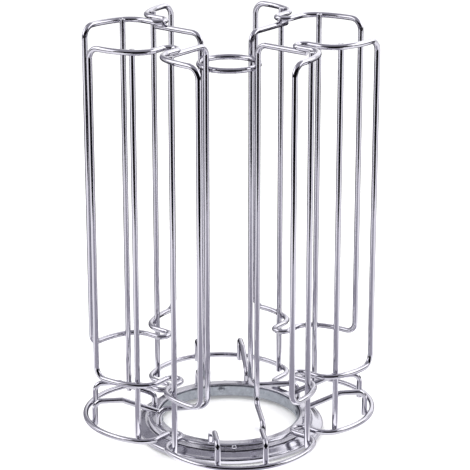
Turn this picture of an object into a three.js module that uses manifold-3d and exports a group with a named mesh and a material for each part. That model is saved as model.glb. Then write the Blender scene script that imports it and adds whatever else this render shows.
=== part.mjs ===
import * as THREE from "three";
import { mergeVertices } from "three/addons/utils/BufferGeometryUtils.js";
import Module from "manifold-3d";

// Coffee capsule dispenser: a chromed wire rack of four columns on a ball-bearing turntable.
// Millimetres, +Z up. The origin is on the table, under the middle of the turntable.
// The front column points to -Y, the right one to +X, and the rack is the same after a quarter turn.

const wasm = await Module();
wasm.setup();

// Driving dimensions of the wire
const wire = 3.5; // diameter of every wire
const gap = 0.3; // clearance between two pieces that touch

// Driving dimensions of the columns, at the middle of the wire
const columnOffset = 46.5; // from the turning axis to the middle of a column
const hoopRadius = 47; // of the hoops and of the base ring round a column
const columnHeight = 244.5; // from the base ring up to the top hoops
const mouthHeight = 37; // from the base ring up to the lower hoops
const uprightAngle = 43.5; // degrees from a column's outward line to where a hoop turns down
const rodAngle = 70; // degrees from the same line to a full-height rod
const uprightBend = 7; // bend radius between a hoop and its upright
const hairpinRadius = 5.2; // bend radius of the hairpin between two columns
const hairpinLeg = 7; // straight length of each side of the hairpin
const lobeSetback = 2; // how far the base ring's lobes stay inside the hoops above them

// Driving dimensions of the inner wires and the shelves
const innerRadius = 22; // from the turning axis to the inner uprights
const innerBend = 6; // bend radius at both ends of an inner upright
const spokeOverlap = 7; // how far a spoke passes the hairpin's tip above it
const centreRingDrop = 15.2; // from the spokes down to the centre ring
const innerFootHeight = 8.5; // from the base ring up to the inner uprights' feet
const shelfHeight = 14; // from the base ring up to a shelf wire
const shelfBend = 4.5; // bend radius of a shelf wire over its foot and leg
const shelfSlope = 22; // degrees, the fall of a shelf wire towards the middle
const shelfPast = 3; // how far a shelf wire passes the foot that it is welded beside
const shelfOffset = 17; // from a column's line to the shelf wire with a leg of its own
const rodSetback = 0.5; // how far a rod ends below the top of the hoops

// Driving dimensions of the turntable
const sheet = 1.2; // thickness of the pressed rings
const hairpinSeat = 1.3; // how far a hairpin's tip lies inside the cap ring's edge
const flangeWidth = 7.7; // from the cap ring's edge out to the base ring's lip
const lipClearance = 1.2; // from the table up to the base ring's lip
const dishHeight = 5; // from the lip's edge up to the base ring's shoulder
const shoulderWidth = 1.6; // flat part of the shoulder outside the cap ring's wall
const lipHeight = 2; // from the lip's edge up to where the flange starts
const lipCurl = 2.4; // how far the flange's rounded edge reaches inwards
const raceDepth = 0.75; // of the race below the shoulder
const ballDiameter = 3.4;
const ballPlay = 0.2; // clearance over and under a ball
const ballCount = 16;
const cageSheet = 0.8; // thickness of the cage that spaces the balls
const cageWidth = 3; // of the cage from edge to edge
const wallClearance = 2.1; // from the middle of the race to a channel wall, beside a ball
const collarSheet = 1.1; // thickness of the retaining ring
const retainerGrip = 1.6; // overlap of the retaining ring under the base ring
const retainerDrop = 0.8; // free play of the base ring over the retaining ring
const rivetDiameter = 2;
const rivetHead = 4; // diameter of a rivet's head
const rivetHeadHeight = 1.1;
const rivetTail = 0.4; // thickness of a rivet's spread end
const rivetTailSpread = 0.4; // how far the spread end passes the shank
const dimpleRadius = 1.6; // of the pressed dimples on the cap ring's wall
const dimpleRise = 0.9;
const dimpleTurn = 3.5; // degrees from a column's line to a dimple
const footDiameter = 7; // of the rubber feet
const footInset = 5.2; // from the base ring's edge to the middle of a foot
const footChamfer = 0.5;
const overrun = 2; // how far a cutting shape passes the piece that it cuts

// Counts and steps of the round stretches
const wireSides = 8;
const ringSides = 48;
const torusSides = 32;
const pinSides = 12;
const headRings = 6;
const ballSides = 8;
const ballRings = 4;
const lobeStep = 12; // degrees for a step along a column's hoop
const bendStep = 30; // degrees for a step along a tight bend
const quarterTurn = 90; // degrees from one column to the next
const halfway = quarterTurn / 2;
const quarters = 4;

// Heights above the table
const wireRadius = wire / 2;
const ballRadius = ballDiameter / 2;
const touch = wire + gap; // centre distance of two wires that touch
const shoulderTop = lipClearance + dishHeight;
const raceTop = shoulderTop - raceDepth;
const ballHeight = raceTop + ballPlay + ballRadius;
const capUnderside = ballHeight + ballRadius + ballPlay;
const capTop = capUnderside + sheet;
const weldHeight = capTop + gap; // lowest point of the wires that stand on the cap ring
const baseRingHeight = weldHeight + wireRadius;
const hoopHeight = baseRingHeight + columnHeight;
const mouthTop = baseRingHeight + mouthHeight;
const spokeHeight = hoopHeight - touch;

// The base ring's lobes are flatter arcs than the hoops, and meet the hoops' circle beside the rods
const lobeReach = columnOffset + hoopRadius - lobeSetback;
const lobeEnd = new THREE.Vector2(
  columnOffset + hoopRadius * Math.cos(radians(rodAngle)), hoopRadius * Math.sin(radians(rodAngle)),
);
const lobeOffset = (lobeReach ** 2 - lobeEnd.lengthSq()) / (2 * (lobeReach - lobeEnd.x));
const lobeRadius = lobeReach - lobeOffset;
const lobeAngle = THREE.MathUtils.radToDeg(Math.atan2(lobeEnd.y, lobeEnd.x - lobeOffset));

// The hairpin is the same for the hoops and the base ring
const tipCentre = shoulderPlan(columnOffset, hoopRadius, rodAngle).legStart - hairpinLeg;
const cuspReach = tipCentre - hairpinRadius; // from the turning axis to the hairpin's tip

// Radii of the turntable, which is as wide as the hairpins that stand on it ask for
const capOuter = cuspReach + hairpinSeat;
const capOuterFace = capOuter - sheet;
const raceRadius = capOuterFace - wallClearance; // middle of the ball race
const turntableRadius = capOuter + flangeWidth;
const capInnerFace = raceRadius - wallClearance - gap - rivetTail; // of the channel's inner wall
const capInner = capInnerFace - sheet;
const raceInner = raceRadius - cageWidth / 2 - gap;

const chrome = { color: 0xd8dae0, roughness: 0.12, metalness: 1 };
const pressedChrome = { color: 0xcfd1d6, roughness: 0.18, metalness: 1 };
const zincSteel = { color: 0x9ea2a8, roughness: 0.35, metalness: 1 };
const rubber = { color: 0x1c1c1e, roughness: 0.85, metalness: 0 };

const dispenser = new THREE.Group();

function radians(degrees) {
  return THREE.MathUtils.degToRad(degrees);
}

function addPiece(name, geometry, finish) {
  const piece = new THREE.Mesh(geometry, new THREE.MeshStandardMaterial(finish));
  piece.name = name;
  dispenser.add(piece);
}

// A line through bend points, sampled at those points and not by length
class WireLine extends THREE.Curve {
  constructor(points, closed) {
    super();
    this.points = points;
    this.closed = closed;
    this.spans = closed ? points.length : points.length - 1;
  }

  getUtoTmapping(u) {
    return u;
  }

  pointAt(index) {
    const count = this.points.length;
    return this.points[((index % count) + count) % count];
  }

  getPoint(t, target = new THREE.Vector3()) {
    const place = t * this.spans;
    const span = Math.min(Math.floor(place), this.spans - 1);
    return target.lerpVectors(this.pointAt(span), this.pointAt(span + 1), place - span);
  }

  getTangent(t, target = new THREE.Vector3()) {
    const index = Math.round(t * this.spans);
    const here = this.pointAt(index);
    target.set(0, 0, 0);
    if (this.closed || index > 0) {
      target.add(here.clone().sub(this.pointAt(index - 1)).normalize());
    }
    if (this.closed || index < this.spans) {
      target.add(this.pointAt(index + 1).clone().sub(here).normalize());
    }
    return target.normalize();
  }
}

function openWire(points) {
  const line = new WireLine(points, false);
  const section = new THREE.Shape();
  for (let side = 0; side < wireSides; side += 1) {
    const angle = (side / wireSides) * 2 * Math.PI;
    const corner = [wireRadius * Math.cos(angle), wireRadius * Math.sin(angle)];
    if (side === 0) section.moveTo(...corner);
    else section.lineTo(...corner);
  }
  section.closePath();
  const settings = { steps: line.spans, bevelEnabled: false, extrudePath: line };
  return new THREE.ExtrudeGeometry(section, settings);
}

// A wire whose two ends are welded together is a tube without ends
function closedWire(points) {
  const line = new WireLine(points, true);
  return new THREE.TubeGeometry(line, line.spans, wireRadius, wireSides, true);
}

// Points of a flat arc, both ends included
function arc(centre, radius, from, to, step) {
  const spans = Math.max(1, Math.ceil(Math.abs(to - from) / step - Number.EPSILON));
  const points = [];
  for (let index = 0; index <= spans; index += 1) {
    const angle = radians(from + ((to - from) * index) / spans);
    const reach = new THREE.Vector2(radius * Math.cos(angle), radius * Math.sin(angle));
    points.push(centre.clone().add(reach));
  }
  return points;
}

// Points of the round bend that a wire makes at a corner
function bend(before, corner, after, radius) {
  const back = before.clone().sub(corner).normalize();
  const on = after.clone().sub(corner).normalize();
  const turn = Math.PI - back.angleTo(on);
  const reach = radius * Math.tan(turn / 2);
  const start = corner.clone().addScaledVector(back, reach);
  const end = corner.clone().addScaledVector(on, reach);
  const middle = back.clone().add(on).normalize();
  const centre = corner.clone().addScaledVector(middle, radius / Math.cos(turn / 2));
  const spans = Math.ceil(turn / radians(bendStep));
  const points = [];
  for (let index = 0; index <= spans; index += 1) {
    const share = index / spans;
    const fromStart = start.clone().sub(centre).multiplyScalar(Math.sin((1 - share) * turn));
    const fromEnd = end.clone().sub(centre).multiplyScalar(Math.sin(share * turn));
    points.push(fromStart.add(fromEnd).divideScalar(Math.sin(turn)).add(centre));
  }
  return points;
}

function bentWire(corners, radius) {
  const points = [corners[0]];
  for (let index = 1; index < corners.length - 1; index += 1) {
    points.push(...bend(corners[index - 1], corners[index], corners[index + 1], radius));
  }
  points.push(corners[corners.length - 1]);
  return openWire(points);
}

// A shoulder is the arc that leads a wire from its arc round a column to the hairpin's straight leg.
// Its leg starts this far out along the corner's diagonal.
function shoulderPlan(offset, radius, endAngle) {
  const turn = radians(endAngle);
  const lean = Math.cos(turn) - Math.sin(turn);
  const legDistance = (offset + radius * lean) * Math.SQRT1_2 - hairpinRadius;
  const shoulderRadius = legDistance / (1 + lean * Math.SQRT1_2);
  const reach = radius - shoulderRadius;
  const centre = new THREE.Vector2(offset + reach * Math.cos(turn), reach * Math.sin(turn));
  return { radius: shoulderRadius, centre, legStart: (centre.x + centre.y) * Math.SQRT1_2 };
}

// Plan of the wire between two columns: one column's side, the hairpin and the next column's side.
// The first coordinate runs outwards along the column's own line, the second to its left.
function cornerPlan(offset, radius, startAngle, endAngle) {
  const shoulder = shoulderPlan(offset, radius, endAngle);
  const legAngle = quarterTurn + halfway;
  const side = [
    ...arc(new THREE.Vector2(offset, 0), radius, startAngle, endAngle, lobeStep),
    ...arc(shoulder.centre, shoulder.radius, endAngle, legAngle, bendStep).slice(1),
  ];
  const centre = new THREE.Vector2(tipCentre, tipCentre).multiplyScalar(Math.SQRT1_2);
  const hairpin = arc(centre, hairpinRadius, -halfway, -halfway - 2 * quarterTurn, bendStep);
  const mirrored = side.map((point) => new THREE.Vector2(point.y, point.x)).reverse();
  return [...side, ...hairpin, ...mirrored];
}

function raise(points, height) {
  return points.map((point) => new THREE.Vector3(point.x, point.y, height));
}

function turned(points, degrees) {
  const axis = new THREE.Vector3(0, 0, 1);
  return points.map((point) => point.clone().applyAxisAngle(axis, radians(degrees)));
}

// The base ring runs once round all four columns
function addBaseRing() {
  const corner = raise(cornerPlan(lobeOffset, lobeRadius, 0, lobeAngle), baseRingHeight);
  const points = [];
  for (let quarter = 0; quarter < quarters; quarter += 1) {
    points.push(...turned(corner.slice(1), quarter * quarterTurn));
  }
  addPiece("base_ring", closedWire(points), chrome);
}

// A corner frame is one closed wire: a top hoop, an upright, a lower hoop and an upright
function cornerFramePoints() {
  const plan = cornerPlan(columnOffset, hoopRadius, uprightAngle, rodAngle);
  const top = raise(plan, hoopHeight);
  const low = raise(plan, mouthTop).reverse();
  const run = radians(uprightAngle);
  const along = new THREE.Vector3(Math.sin(run), -Math.cos(run), 0).multiplyScalar(uprightBend);
  const mirroredAlong = new THREE.Vector3(along.y, along.x, 0);
  const first = top[0];
  const last = top[top.length - 1];
  const farTop = last.clone().add(mirroredAlong);
  const nearTop = first.clone().add(along);
  const farLow = farTop.clone().setZ(mouthTop);
  const nearLow = nearTop.clone().setZ(mouthTop);
  return [
    ...top.slice(1, -1),
    ...bend(last, farTop, farLow, uprightBend),
    ...bend(farTop, farLow, low[0], uprightBend),
    ...low.slice(1, -1),
    ...bend(low[low.length - 1], nearLow, nearTop, uprightBend),
    ...bend(nearLow, nearTop, first, uprightBend),
  ];
}

function addCornerFrames(names) {
  const points = cornerFramePoints();
  names.forEach((name, quarter) => {
    addPiece(`corner_frame_${name}`, closedWire(turned(points, quarter * quarterTurn)), chrome);
  });
}

// A side of a column is named for the column that it faces
function sideNames(columns, quarter) {
  const next = columns[(quarter + 1) % columns.length];
  const last = columns[(quarter + columns.length - 1) % columns.length];
  return [`${next}_side`, `${last}_side`];
}

// Two straight rods stand inside the rings of each column, over its full height
function addRods(columns) {
  const reach = hoopRadius - touch;
  const bottom = baseRingHeight - wireRadius;
  const top = hoopHeight + wireRadius - rodSetback;
  const across = reach * Math.sin(radians(rodAngle));
  const outwards = columnOffset + reach * Math.cos(radians(rodAngle));
  columns.forEach((column, quarter) => {
    const [nextSide, lastSide] = sideNames(columns, quarter);
    [[nextSide, across], [lastSide, -across]].forEach(([side, offset]) => {
      const ends = [bottom, top].map((height) => new THREE.Vector3(outwards, offset, height));
      const rod = openWire(turned(ends, quarter * quarterTurn));
      addPiece(`rod_${column}_${side}`, rod, chrome);
    });
  });
}

// One wire makes a spoke under a hairpin, an inner upright and the foot that stands on the turntable
const innerSide = innerRadius * Math.SQRT1_2; // from a column's line to an inner upright
const legReach = Math.sqrt(raceRadius ** 2 - innerSide ** 2); // from the axis out to a leg
const footWireHeight = baseRingHeight + innerFootHeight;

function addInnerUprights(names) {
  const spokeSide = (cuspReach + spokeOverlap) * Math.SQRT1_2;
  const corners = [
    new THREE.Vector3(spokeSide, spokeSide, spokeHeight),
    new THREE.Vector3(innerSide, innerSide, spokeHeight),
    new THREE.Vector3(innerSide, innerSide, footWireHeight),
    new THREE.Vector3(legReach, innerSide, footWireHeight),
    new THREE.Vector3(legReach, innerSide, weldHeight),
  ];
  names.forEach((name, quarter) => {
    const points = turned(corners, quarter * quarterTurn);
    addPiece(`inner_upright_${name}`, bentWire(points, innerBend), chrome);
  });
}

// The centre ring ties the inner uprights together below the spokes
function addCentreRing() {
  const ringRadius = innerRadius - touch;
  const ring = new THREE.TorusGeometry(ringRadius, wireRadius, wireSides, torusSides);
  ring.translate(0, 0, spokeHeight - centreRingDrop);
  addPiece("centre_ring", ring, chrome);
}

// A shelf wire rises inside the base ring, runs in and falls towards the middle.
// On one side of a column it ends beside an inner upright's foot, on the other on a leg of its own.
function addShelfWires(columns) {
  const top = baseRingHeight + shelfHeight;
  const fall = radians(shelfSlope);
  const bendCentre = new THREE.Vector3(legReach - innerBend, 0, footWireHeight - innerBend);
  const slopeStart = bendCentre.x + (top - bendCentre.z) / Math.tan(fall);
  const endRadius = innerBend - shelfPast;
  const endReach = bendCentre.x + endRadius * Math.cos(fall);
  const endHeight = bendCentre.z + endRadius * Math.sin(fall);
  const legTop = top - (slopeStart - legReach) * Math.tan(fall);
  const rise = (offset) => {
    const footReach = lobeOffset + Math.sqrt((lobeRadius - touch) ** 2 - offset ** 2);
    return [
      new THREE.Vector3(footReach, offset, baseRingHeight - wireRadius),
      new THREE.Vector3(footReach, offset, top),
      new THREE.Vector3(slopeStart, offset, top),
    ];
  };
  const tiedOffset = innerSide - touch;
  const tied = [...rise(tiedOffset), new THREE.Vector3(endReach, tiedOffset, endHeight)];
  const legged = [
    ...rise(-shelfOffset),
    new THREE.Vector3(legReach, -shelfOffset, legTop),
    new THREE.Vector3(legReach, -shelfOffset, weldHeight),
  ];
  columns.forEach((column, quarter) => {
    const turn = quarter * quarterTurn;
    const [nextSide, lastSide] = sideNames(columns, quarter);
    addPiece(`shelf_wire_${column}_${nextSide}`, bentWire(turned(tied, turn), shelfBend), chrome);
    addPiece(`shelf_wire_${column}_${lastSide}`, bentWire(turned(legged, turn), shelfBend), chrome);
  });
}

// A ring turned from a closed outline of radius and height pairs
function turnedRing(outline) {
  const profile = [...outline, outline[0]].map((pair) => new THREE.Vector2(...pair));
  const ring = new THREE.LatheGeometry(profile, ringSides);
  ring.rotateX(radians(quarterTurn));
  return ring;
}

function toSolid(geometry) {
  const bare = geometry.clone();
  bare.deleteAttribute("normal");
  bare.deleteAttribute("uv");
  const merged = mergeVertices(bare);
  const settings = {
    numProp: 3,
    vertProperties: new Float32Array(merged.attributes.position.array),
    triVerts: new Uint32Array(merged.index.array),
  };
  return new wasm.Manifold(new wasm.Mesh(settings));
}

function toGeometry(solid) {
  const mesh = solid.getMesh();
  const geometry = new THREE.BufferGeometry();
  geometry.setAttribute("position", new THREE.BufferAttribute(mesh.vertProperties, mesh.numProp));
  geometry.setIndex(new THREE.BufferAttribute(mesh.triVerts, 1));
  return geometry;
}

// A pin that lies along a radius of the turntable, from one radius to another
function radialPin(diameter, from, to, height, angle) {
  const pin = new THREE.CylinderGeometry(diameter / 2, diameter / 2, to - from, pinSides);
  pin.rotateZ(radians(quarterTurn));
  pin.translate((from + to) / 2, 0, height);
  pin.rotateZ(radians(angle));
  return pin;
}

const rivetAngles = Array.from({ length: quarters }, (_, index) => index * quarterTurn);
const rivetHeight = raceTop + rivetDiameter / 2 + rivetTailSpread + gap;

function cutRivetHoles(ring) {
  const holeDiameter = rivetDiameter + 2 * gap;
  let solid = toSolid(ring);
  rivetAngles.forEach((angle) => {
    const hole = radialPin(holeDiameter, collarInner - overrun, raceInner, rivetHeight, angle);
    solid = solid.subtract(toSolid(hole));
  });
  return solid;
}

// The cap ring is a channel, open downwards, that the wires are welded to
function addCapRing() {
  const innerBottom = raceTop - sheet - retainerDrop + gap;
  const outerBottom = shoulderTop + gap;
  const ring = turnedRing([
    [capInner, innerBottom],
    [capInnerFace, innerBottom],
    [capInnerFace, capUnderside],
    [capOuterFace, capUnderside],
    [capOuterFace, outerBottom],
    [capOuter, outerBottom],
    [capOuter, capTop - sheet / 2],
    [capOuter - sheet / 2, capTop],
    [capInner + sheet / 2, capTop],
    [capInner, capTop - sheet / 2],
  ]);
  let solid = cutRivetHoles(ring);
  rivetAngles.forEach((angle) => {
    const dimple = new THREE.SphereGeometry(dimpleRadius, pinSides, headRings);
    dimple.scale(dimpleRise / dimpleRadius, 1, 1);
    dimple.translate(capOuter, 0, outerBottom + (capTop - outerBottom) / 2);
    dimple.rotateZ(radians(angle - dimpleTurn));
    solid = solid.add(toSolid(dimple));
  });
  addPiece("turntable_cap_ring", toGeometry(solid), pressedChrome);
}

// The retaining ring is riveted inside the cap ring and holds the base ring from below
const collarOuter = capInner - gap;
const collarInner = collarOuter - collarSheet;
const retainerTop = raceTop - sheet - retainerDrop;

function addRetainingRing() {
  const gripRadius = raceInner + retainerGrip;
  const collarTop = rivetHeight + rivetHead / 2;
  const ring = turnedRing([
    [collarInner, retainerTop - collarSheet],
    [gripRadius, retainerTop - collarSheet],
    [gripRadius, retainerTop],
    [collarOuter, retainerTop],
    [collarOuter, collarTop],
    [collarInner, collarTop],
  ]);
  addPiece("turntable_retaining_ring", toGeometry(cutRivetHoles(ring)), zincSteel);
}

function addRivets(names) {
  const headFace = collarInner - gap;
  const tailStart = capInnerFace + gap / 2;
  names.forEach((name, index) => {
    const angle = rivetAngles[index];
    const head = new THREE.SphereGeometry(rivetHead / 2, pinSides, headRings);
    head.scale(2 * rivetHeadHeight / rivetHead, 1, 1);
    head.translate(headFace, 0, rivetHeight);
    head.rotateZ(radians(angle));
    const trimEnd = headFace + rivetHeadHeight + overrun;
    const trim = radialPin(2 * rivetHead, headFace, trimEnd, rivetHeight, angle);
    const shank = radialPin(
      rivetDiameter, headFace - gap, tailStart + rivetTail, rivetHeight, angle,
    );
    const tailDiameter = rivetDiameter + 2 * rivetTailSpread;
    const tail = radialPin(tailDiameter, tailStart, tailStart + rivetTail, rivetHeight, angle);
    const rivet = toSolid(head).subtract(toSolid(trim)).add(toSolid(shank)).add(toSolid(tail));
    addPiece(`turntable_rivet_${name}`, toGeometry(rivet), zincSteel);
  });
}

// The balls sit in a flat cage that keeps them apart
function addBallCage() {
  const low = ballHeight - cageSheet / 2;
  const high = ballHeight + cageSheet / 2;
  const inner = raceRadius - cageWidth / 2;
  const outer = raceRadius + cageWidth / 2;
  let solid = toSolid(turnedRing([[inner, low], [outer, low], [outer, high], [inner, high]]));
  for (let index = 0; index < ballCount; index += 1) {
    const ball = new THREE.SphereGeometry(ballRadius, ballSides, ballRings);
    ball.rotateX(radians(quarterTurn));
    ball.translate(raceRadius, 0, ballHeight);
    ball.rotateZ(((index + 1 / 2) / ballCount) * 2 * Math.PI);
    solid = solid.add(toSolid(ball));
  }
  addPiece("turntable_ball_cage", toGeometry(solid), zincSteel);
}

// The base ring of the turntable: a race, a shoulder under the cap ring, a flange and a lip
const shoulderOuter = capOuter + shoulderWidth;
const flangeOuter = turntableRadius - lipCurl;
const flangeLow = lipClearance + lipHeight;
const flangeUnderside = [
  [shoulderOuter - sheet / 2, shoulderTop - sheet],
  [flangeOuter - sheet / 2, flangeLow],
  [turntableRadius - sheet, flangeLow - sheet / 2],
];

function addTurntableBase() {
  const raceOuter = capOuterFace - gap;
  const ring = turnedRing([
    [raceInner, raceTop - sheet],
    [raceOuter, raceTop - sheet],
    [capOuter - sheet / 2, shoulderTop - sheet],
    ...flangeUnderside,
    [turntableRadius - sheet, lipClearance],
    [turntableRadius, lipClearance],
    [turntableRadius, flangeLow],
    [turntableRadius - lipCurl / 4, flangeLow + sheet * (3 / 4)],
    [flangeOuter, flangeLow + sheet],
    [shoulderOuter, shoulderTop],
    [capOuterFace + gap, shoulderTop],
    [raceOuter - gap, raceTop],
    [raceInner, raceTop],
  ]);
  addPiece("turntable_base_ring", ring, pressedChrome);
}

// Rubber feet are stuck under the flange, so their tops follow its slope
function addRubberFeet(names) {
  const reach = turntableRadius - footInset;
  const coverTop = shoulderTop + overrun;
  const underFlange = turnedRing([
    [capInner, shoulderTop - sheet - gap],
    ...flangeUnderside.map(([radius, height]) => [radius, height - gap]),
    [turntableRadius, lipClearance],
    [turntableRadius, coverTop],
    [capInner, coverTop],
  ]);
  names.forEach((name, quarter) => {
    const profile = [
      [0, 0],
      [footDiameter / 2 - footChamfer, 0],
      [footDiameter / 2, footChamfer],
      [footDiameter / 2, shoulderTop],
      [0, shoulderTop],
    ].map((pair) => new THREE.Vector2(...pair));
    const foot = new THREE.LatheGeometry(profile, pinSides);
    foot.rotateX(radians(quarterTurn));
    foot.translate(reach, 0, 0);
    foot.rotateZ(radians(halfway + quarter * quarterTurn));
    const solid = toSolid(foot).subtract(toSolid(underFlange));
    addPiece(`rubber_foot_${name}`, toGeometry(solid), rubber);
  });
}

const columnNames = ["right", "back", "left", "front"];
const cornerNames = ["back_right", "back_left", "front_left", "front_right"];

addBaseRing();
addCornerFrames(cornerNames);
addRods(columnNames);
addInnerUprights(cornerNames);
addCentreRing();
addShelfWires(columnNames);
addCapRing();
addRetainingRing();
addRivets(columnNames);
addBallCage();
addTurntableBase();
addRubberFeet(cornerNames);

export default dispenser;
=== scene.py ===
import math
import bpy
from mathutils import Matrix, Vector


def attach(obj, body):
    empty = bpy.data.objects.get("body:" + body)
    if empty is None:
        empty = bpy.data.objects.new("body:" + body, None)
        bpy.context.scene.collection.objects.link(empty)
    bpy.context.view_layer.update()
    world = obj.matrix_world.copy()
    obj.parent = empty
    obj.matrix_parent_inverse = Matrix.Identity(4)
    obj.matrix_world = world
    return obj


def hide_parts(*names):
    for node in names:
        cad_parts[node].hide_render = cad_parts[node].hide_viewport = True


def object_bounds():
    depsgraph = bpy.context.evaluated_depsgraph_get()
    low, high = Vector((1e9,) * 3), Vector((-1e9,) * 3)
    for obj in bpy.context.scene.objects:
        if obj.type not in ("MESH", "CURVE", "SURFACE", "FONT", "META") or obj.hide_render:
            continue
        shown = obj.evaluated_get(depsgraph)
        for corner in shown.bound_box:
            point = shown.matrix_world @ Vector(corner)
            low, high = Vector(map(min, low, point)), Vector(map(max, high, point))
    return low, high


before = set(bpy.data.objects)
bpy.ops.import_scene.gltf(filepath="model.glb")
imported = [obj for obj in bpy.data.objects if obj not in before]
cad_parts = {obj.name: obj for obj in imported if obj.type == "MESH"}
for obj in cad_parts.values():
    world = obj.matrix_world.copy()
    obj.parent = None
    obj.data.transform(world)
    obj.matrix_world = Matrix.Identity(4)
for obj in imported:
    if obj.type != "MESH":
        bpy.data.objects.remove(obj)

from types import SimpleNamespace

import bmesh
import bpy
from bpy.props import FloatProperty, FloatVectorProperty, IntProperty, PointerProperty
from bpy.types import Operator, Panel, PropertyGroup
from mathutils import Matrix, Vector

bl_info = {
    "name": "Coffee Capsule Dispenser",
    "version": (1, 0, 0),
    "blender": (4, 5, 0),
    "location": "3D Viewport > Sidebar > Dispenser",
    "description": "Builds a chromed wire rack on its turntable, and a white studio round it",
    "category": "Object",
}

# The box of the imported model, before any piece is added
CAD_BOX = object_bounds()

# Metres, +Z up. The front column points to -Y and the right one to +X.
# Shapes are made for the right column and the corner behind it, then turned a quarter at a time.
MM = 0.001
UP = Vector((0.0, 0.0, 1.0))
COLUMNS = ("right", "back", "left", "front")
CORNERS = ("back_right", "back_left", "front_left", "front_right")
SIDES = (("left", -1), ("right", 1))
QUARTER = math.pi / 2
HALFWAY = QUARTER / 2
DIAGONAL_SHARE = math.cos(HALFWAY)  # how far a corner's diagonal reaches along each axis

# Fineness of the round surfaces
WIRE_SIDES = 24
RING_SIDES = 144
BALL_SIDES = 24
BEND_STEP = math.radians(9)
FACET_LENGTH = 2.5 * MM
ROUNDING_SEGMENTS = 4
BEAD_SUBDIVISIONS = 3
SHARP_ANGLE = HALFWAY / 2
SAME_PLACE = 0.01 * MM

# Beads of weld: round a leg's foot as a share of the wire's radius, and under a hairpin's tip as
# shares of a plain bead's reach, along the tip and across it
COLLAR_SHARE = 1.25
TIP_BEAD_SHARES = (1.5, 0.8)

# Octaves of a noise pattern, and how strong each octave is beside the one before
PLAIN_OCTAVES = 2.0
FINER_OCTAVES = 3.0
FINEST_OCTAVES = 4.0
OCTAVE_SHARE = 0.6
# Most of a noise pattern's values lie between these
NOISE_RANGE = (0.3, 0.75)
FULL_RANGE = (0.0, 1.0)


def length(name, description, millimetres):
    """A length that the user can change. Its default is given in millimetres."""
    return FloatProperty(
        name=name, description=description, default=millimetres * MM, min=0.0, unit="LENGTH"
    )


def angle(name, description, degrees):
    """An angle that the user can change. Its default is given in degrees."""
    return FloatProperty(
        name=name, description=description, default=math.radians(degrees), subtype="ANGLE"
    )


def linear(code):
    """An sRGB hex colour such as C2C0CC as linear red, green and blue."""
    parts = [value / 255 for value in bytes.fromhex(code)]
    return tuple(
        part / 12.92 if part <= 0.04045 else ((part + 0.055) / 1.055) ** 2.4 for part in parts
    )


def colour(name, description, code):
    """A colour that the user can change. Its default is given as an sRGB hex value."""
    return FloatVectorProperty(
        name=name, description=description, default=linear(code), min=0.0, max=1.0, subtype="COLOR"
    )


def share(name, description, value):
    """A plain number that the user can change, such as a brightness."""
    return FloatProperty(name=name, description=description, default=value, min=0.0)


def roughness(name, description, clear, dull):
    """The roughness of a finish in its clearest and in its dullest patches."""
    return FloatVectorProperty(
        name=name, description=description, default=(clear, dull), min=0.0, max=1.0, size=2
    )


class RackSizes(PropertyGroup):
    """Driving sizes of the wires, measured at the middle of the wire"""

    wire: length("Wire", "Diameter of every wire", 3.5)
    gap: length("Gap", "Clearance between two pieces that touch", 0.3)
    column_offset: length("Column offset", "From the turning axis to the middle of a column", 46.5)
    hoop_radius: length("Hoop radius", "Of the hoops and of the base ring round a column", 47)
    column_height: length("Column height", "From the base ring up to the top hoops", 244.5)
    mouth_height: length("Mouth height", "From the base ring up to the lower hoops", 37)
    upright_angle: angle("Upright angle", "Where a hoop turns down, from the column's line", 43.5)
    rod_angle: angle("Rod angle", "Where a full-height rod stands, from the column's line", 70)
    upright_bend: length("Upright bend", "Bend radius between a hoop and its upright", 7)
    hairpin_radius: length("Hairpin radius", "Bend radius of the hairpin between two columns", 5.2)
    hairpin_leg: length("Hairpin leg", "Straight length of each side of the hairpin", 7)
    lobe_setback: length("Lobe setback", "How far the base ring's lobes stay inside the hoops", 2)
    inner_radius: length("Inner radius", "From the turning axis to the inner uprights", 22)
    inner_bend: length("Inner bend", "Bend radius at both ends of an inner upright", 6)
    spoke_overlap: length("Spoke overlap", "How far a spoke passes the hairpin's tip", 7)
    centre_ring_drop: length("Centre ring drop", "From the spokes down to the centre ring", 15.2)
    inner_foot: length("Inner foot", "From the base ring up to the inner uprights' feet", 8.5)
    shelf_height: length("Shelf height", "From the base ring up to a shelf wire", 14)
    shelf_bend: length("Shelf bend", "Bend radius of a shelf wire over its foot and leg", 4.5)
    shelf_slope: angle("Shelf slope", "Fall of a shelf wire towards the middle", 22)
    shelf_past: length("Shelf past", "How far a shelf wire passes the foot it is welded beside", 3)
    shelf_offset: length("Shelf offset", "From a column's line to the shelf wire with a leg", 17)
    rod_setback: length("Rod setback", "How far a rod ends below the top of the hoops", 0.5)
    end_rounding: length("End rounding", "Rounding of the cut ends of a wire", 0.45)
    weld_reach: length("Weld reach", "Half the width of a weld along the wires", 1.7)
    weld_depth: length("Weld depth", "Half the thickness of a weld between two wires", 0.75)


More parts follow.
